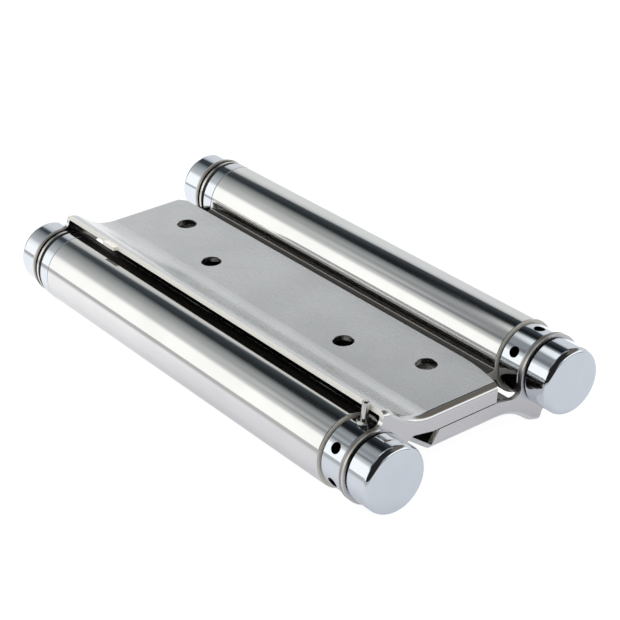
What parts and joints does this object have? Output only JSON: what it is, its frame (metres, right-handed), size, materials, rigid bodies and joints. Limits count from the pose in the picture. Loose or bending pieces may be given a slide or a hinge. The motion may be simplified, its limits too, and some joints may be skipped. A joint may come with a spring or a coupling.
{
  "type": "double action spring hinge",
  "caption": "Double action spring hinge for a swing door: two screw-on leaves, a web rolled into two sprung barrels, tension collars and chromed caps, closed.",
  "frame": {"origin": "middle of the closed hinge, half way between the two barrels", "axes": "+Y along the barrels towards the fixed plugs, +Z out of the door leaf's face, +X towards the jamb leaf's barrel"},
  "size_m": [0.0824, 0.1698, 0.0272],
  "materials": {
    "leaf_steel": "satin brushed stainless sheet",
    "tube_steel": "mirror polished stainless tube",
    "collar_chrome": "bright chrome, turned",
    "plug_chrome": "bright chrome, turned",
    "cap_chrome": "bright chrome, slightly blue",
    "pin_steel": "turned steel",
    "spindle_steel": "drawn steel bar",
    "spring_steel": "oiled spring wire",
    "washer_steel": "stamped stainless washer",
    "washer_nylon": "black nylon bearing washer"
  },
  "bodies": {
    "jamb_side": {"jamb_leaf": "leaf_steel", "right_spindle": "spindle_steel", "right_near_cap": "cap_chrome", "right_near_cap_washer": "washer_nylon", "right_far_cap": "cap_chrome", "right_far_cap_washer": "washer_nylon"},
    "swing_web": {"centre_web": "tube_steel", "left_fixed_plug": "plug_chrome", "left_torsion_spring": "spring_steel", "left_far_spacer": "washer_nylon", "left_far_washer": "washer_steel", "right_fixed_plug": "plug_chrome", "right_torsion_spring": "spring_steel", "right_far_spacer": "washer_nylon", "right_far_washer": "washer_steel"},
    "door_side": {"door_leaf": "leaf_steel", "left_spindle": "spindle_steel", "left_near_cap": "cap_chrome", "left_near_cap_washer": "washer_nylon", "left_far_cap": "cap_chrome", "left_far_cap_washer": "washer_nylon"},
    "left_tensioner": {"left_tension_collar": "collar_chrome", "left_tension_pin": "pin_steel"},
    "right_tensioner": {"right_tension_collar": "collar_chrome", "right_tension_pin": "pin_steel"}
  },
  "joints": [
    {"name": "jamb_hinge", "type": "hinge", "parent": "jamb_side", "child": "swing_web", "pos_m": [0.0304, 0, 0.0028], "axis": [0, 1, 0], "range_deg": [0, 180], "stiffness_Nm_per_rad": 0.75, "springref_deg": -60, "deforming": ["right_torsion_spring"]},
    {"name": "door_hinge", "type": "hinge", "parent": "swing_web", "child": "door_side", "pos_m": [-0.0304, 0, -0.0028], "axis": [0, -1, 0], "range_deg": [0, 180], "stiffness_Nm_per_rad": 0.75, "springref_deg": -60, "deforming": ["left_torsion_spring"]},
    {"name": "left_tension", "type": "hinge", "parent": "door_side", "child": "left_tensioner", "pos_m": [-0.0304, 0, -0.0028], "axis": [0, -1, 0], "range_deg": [0, 60], "stiffness_Nm_per_rad": 0.75, "springref_deg": -60, "deforming": ["left_torsion_spring"]},
    {"name": "right_tension", "type": "hinge", "parent": "jamb_side", "child": "right_tensioner", "pos_m": [0.0304, 0, 0.0028], "axis": [0, -1, 0], "range_deg": [0, 60], "stiffness_Nm_per_rad": 0.75, "springref_deg": -60, "deforming": ["right_torsion_spring"]}
  ]
}
